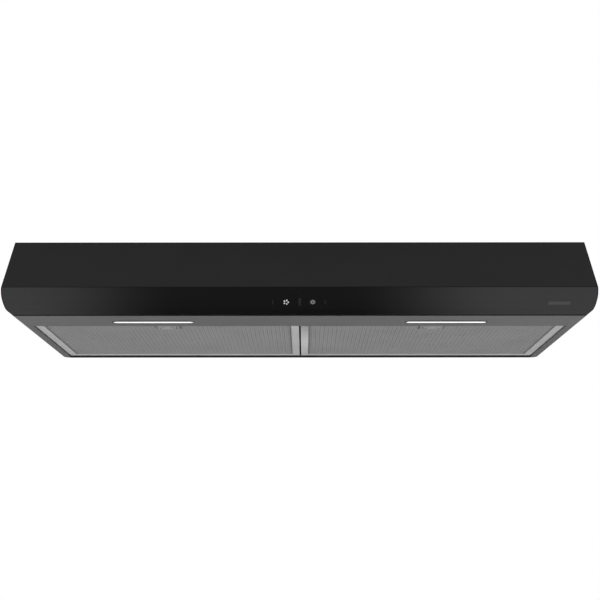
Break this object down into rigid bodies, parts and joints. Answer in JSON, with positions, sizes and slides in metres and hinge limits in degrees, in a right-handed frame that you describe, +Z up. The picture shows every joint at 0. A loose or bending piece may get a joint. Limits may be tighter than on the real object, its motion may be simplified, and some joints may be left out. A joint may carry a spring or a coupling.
{
  "type": "under cabinet range hood",
  "caption": "Slim under cabinet range hood: sloped black front, glossy touch band, light bars, tilting mesh filters, internal blower and duct damper.",
  "frame": {"origin": "centre of the four cabinet screw slots, on the top panel's upper face", "axes": "+X to the right seen from the front, +Y to the wall behind, +Z up into the cabinet; the front faces -Y"},
  "size_m": [0.759, 0.47, 0.1265],
  "materials": {
    "satin_black": "satin black powder coat",
    "gloss_black": "high gloss black",
    "grey_paint": "satin mid grey paint",
    "black_backing": "matt black",
    "galvanised": "galvanised sheet",
    "filter_rail": "folded aluminium strip, satin",
    "filter_mesh": "expanded aluminium mesh",
    "latch_metal": "satin aluminium",
    "spring_steel": "spring steel",
    "light_lens": "opal light diffuser",
    "tray_white": "white reflector paint",
    "circuit_board": "green circuit board",
    "clear_guide": "clear acrylic",
    "driver_case": "white plastic case",
    "component_black": "black plastic",
    "capacitor_can": "pale plastic can",
    "terminal_plastic": "cream terminal plastic",
    "cable_grey": "grey flexible cable",
    "rubber_black": "black rubber",
    "motor_can": "dark motor enamel",
    "shaft_steel": "ground steel",
    "wheel_plastic": "dark grey glass-filled plastic",
    "zinc_screw": "zinc plated"
  },
  "bodies": {
    "hood": {"front_fascia": "satin_black", "control_band": "gloss_black", "band_backing": "black_backing", "top_panel": "satin_black", "back_panel": "satin_black", "side_panel_left": "satin_black", "side_panel_right": "satin_black", "underside_frame": "grey_paint", "front_baffle": "galvanised", "centre_rail": "black_backing", "centre_hanger": "black_backing", "side_hanger_left": "black_backing", "side_hanger_right": "black_backing", "light_lens_left": "light_lens", "light_lens_right": "light_lens", "light_tray_left": "tray_white", "light_tray_right": "tray_white", "light_board_left": "circuit_board", "light_board_right": "circuit_board", "light_driver": "driver_case", "key_light_guides": "clear_guide", "touch_board": "circuit_board", "power_box": "galvanised", "power_box_cover": "galvanised", "power_board": "circuit_board", "fan_capacitor": "capacitor_can", "wiring_box": "galvanised", "wiring_box_cover": "galvanised", "terminal_block": "terminal_plastic", "harness_supply": "cable_grey", "harness_motor": "cable_grey", "harness_control": "cable_grey", "baffle_grommets": "rubber_black", "scroll_housing": "galvanised", "scroll_floor": "galvanised", "inlet_ring": "galvanised", "motor_bracket": "galvanised", "motor": "motor_can", "motor_isolators": "rubber_black", "motor_screws": "zinc_screw", "discharge_box": "galvanised", "rear_duct_cover": "galvanised", "rear_cover_screws": "zinc_screw", "duct_collar": "galvanised", "collar_screws": "zinc_screw"},
    "blower": {"motor_shaft": "shaft_steel", "blower_wheel": "wheel_plastic", "wheel_nut": "zinc_screw"},
    "damper": {"damper_flap": "galvanised", "damper_rod": "shaft_steel"},
    "filter_left": {"filter_frame_left": "filter_rail", "filter_mesh_left": "filter_mesh", "latch_case_left": "filter_rail", "latch_spring_left": "spring_steel"},
    "filter_right": {"filter_frame_right": "filter_rail", "filter_mesh_right": "filter_mesh", "latch_case_right": "filter_rail", "latch_spring_right": "spring_steel"},
    "latch_left": {"latch_bolt_left": "latch_metal"},
    "latch_right": {"latch_bolt_right": "latch_metal"}
  },
  "joints": [
    {"name": "wheel_spin", "type": "hinge", "parent": "hood", "child": "blower", "pos_m": [-0.013, 0, -0.0385], "axis": [0, 0, 1], "continuous": true},
    {"name": "damper_hinge", "type": "hinge", "parent": "hood", "child": "damper", "pos_m": [0, 0.181, 0.0085], "axis": [-1, 0, 0], "range_deg": [0, 78]},
    {"name": "filter_tilt_left", "type": "hinge", "parent": "hood", "child": "filter_left", "pos_m": [-0.1846, 0.184, -0.092], "axis": [1, 0, 0], "range_deg": [0, 80]},
    {"name": "filter_tilt_right", "type": "hinge", "parent": "hood", "child": "filter_right", "pos_m": [0.1846, 0.184, -0.092], "axis": [1, 0, 0], "range_deg": [0, 80]},
    {"name": "latch_slide_left", "type": "slide", "parent": "filter_left", "child": "latch_left", "axis": [0, 1, 0], "range_m": [0, 0.005], "stiffness_N_per_m": 400, "springref_m": -0.004, "deforming": ["latch_spring_left"]},
    {"name": "latch_slide_right", "type": "slide", "parent": "filter_right", "child": "latch_right", "axis": [0, 1, 0], "range_m": [0, 0.005], "stiffness_N_per_m": 400, "springref_m": -0.004, "deforming": ["latch_spring_right"]}
  ]
}
